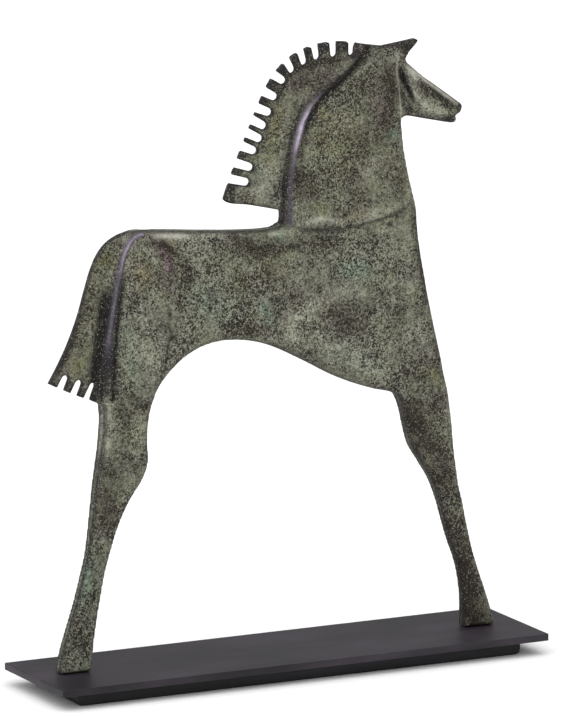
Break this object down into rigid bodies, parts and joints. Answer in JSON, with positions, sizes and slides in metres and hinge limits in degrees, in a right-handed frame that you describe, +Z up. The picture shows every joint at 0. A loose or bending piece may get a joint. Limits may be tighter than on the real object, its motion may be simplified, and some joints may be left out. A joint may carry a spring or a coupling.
{
  "type": "horse figure",
  "caption": "Horse in profile cast in patinated aluminium, with a toothed mane and tail, standing on a low stepped black plinth as a table or shelf figure.",
  "frame": {"origin": "middle of the foot's underside, on the surface it stands on", "axes": "+Z up, +X towards the horse's head, +Y to the horse's left side"},
  "size_m": [0.457, 0.114, 0.5334],
  "materials": {
    "patinated_aluminium": "sand cast aluminium with a dark brown-black patina, mottled grey-green and rubbed bright on the raised rolls",
    "black_plate": "satin black paint on a flat plate, edges slightly broken",
    "black_foot": "satin black paint on a wooden foot"
  },
  "bodies": {
    "root": {"horse": "patinated_aluminium", "plinth_plate": "black_plate", "plinth_foot": "black_foot"}
  },
  "joints": []
}
